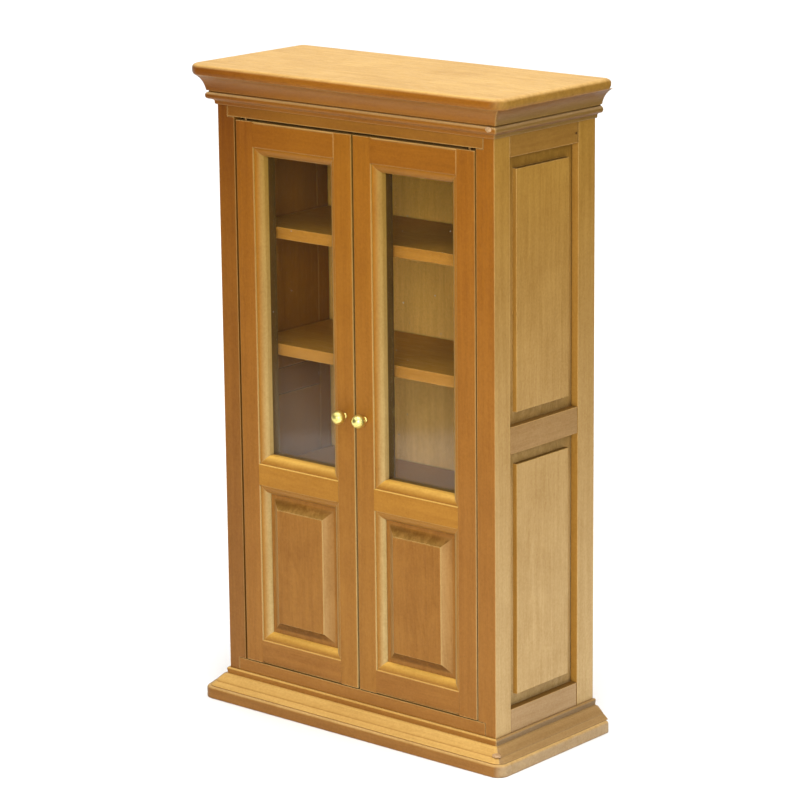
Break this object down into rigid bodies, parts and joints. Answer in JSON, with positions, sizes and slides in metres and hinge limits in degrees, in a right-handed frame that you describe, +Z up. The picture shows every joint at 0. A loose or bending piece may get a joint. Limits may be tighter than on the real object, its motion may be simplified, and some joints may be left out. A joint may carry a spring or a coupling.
{
  "type": "miniature bookcase",
  "caption": "Upright miniature cabinet bookcase with glazed and panelled hinged doors over inner shelves, raised panel sides and moulded cornice and plinth.",
  "frame": {"origin": "centre of the bounding box in plan, on the floor under the base board", "axes": "+Z up; the doors face -Y; +X is the right-hand side of someone looking at the doors"},
  "size_m": [0.1058, 0.0474, 0.178],
  "materials": {
    "front_wood": "honey-brown stain under satin varnish",
    "side_wood": "honey-brown stain under satin varnish",
    "top_wood": "honey-brown stain under satin varnish",
    "moulding_wood": "honey-brown stain under satin varnish",
    "inside_wood": "thin matt stain",
    "brass": "polished",
    "clear_glazing": "clear acrylic sheet, slightly hazy"
  },
  "bodies": {
    "cabinet": {"back_panel": "inside_wood", "base_board": "moulding_wood", "ceiling_board": "inside_wood", "cornice_front": "moulding_wood", "cornice_left": "moulding_wood", "cornice_right": "moulding_wood", "face_bottom_rail": "front_wood", "face_top_rail": "front_wood", "floor_board": "inside_wood", "front_post_left": "front_wood", "front_post_right": "front_wood", "left_pin_bottom": "brass", "left_pin_top": "brass", "plinth_front": "moulding_wood", "plinth_left": "moulding_wood", "plinth_right": "moulding_wood", "rear_post_left": "side_wood", "rear_post_right": "side_wood", "right_pin_bottom": "brass", "right_pin_top": "brass", "shelf_lower": "inside_wood", "shelf_middle": "inside_wood", "shelf_upper": "inside_wood", "side_bottom_rail_left": "side_wood", "side_bottom_rail_right": "side_wood", "side_lower_panel_left": "side_wood", "side_lower_panel_right": "side_wood", "side_middle_rail_left": "side_wood", "side_middle_rail_right": "side_wood", "side_top_rail_left": "side_wood", "side_top_rail_right": "side_wood", "side_upper_panel_left": "side_wood", "side_upper_panel_right": "side_wood", "top_board": "top_wood"},
    "left_door": {"left_door_bottom_rail": "front_wood", "left_door_glass": "clear_glazing", "left_door_hinge_stile": "front_wood", "left_door_lock_rail": "front_wood", "left_door_meeting_stile": "front_wood", "left_door_panel": "front_wood", "left_door_top_rail": "front_wood", "left_knob": "brass"},
    "right_door": {"right_door_bottom_rail": "front_wood", "right_door_glass": "clear_glazing", "right_door_hinge_stile": "front_wood", "right_door_lock_rail": "front_wood", "right_door_meeting_stile": "front_wood", "right_door_panel": "front_wood", "right_door_top_rail": "front_wood", "right_knob": "brass"}
  },
  "joints": [
    {"name": "left_door_hinge", "type": "hinge", "parent": "cabinet", "child": "left_door", "pos_m": [-0.03855, -0.0169, 0.08775], "axis": [0, 0, -1], "range_deg": [0, 110]},
    {"name": "right_door_hinge", "type": "hinge", "parent": "cabinet", "child": "right_door", "pos_m": [0.03855, -0.0169, 0.08775], "axis": [0, 0, 1], "range_deg": [0, 110]}
  ]
}
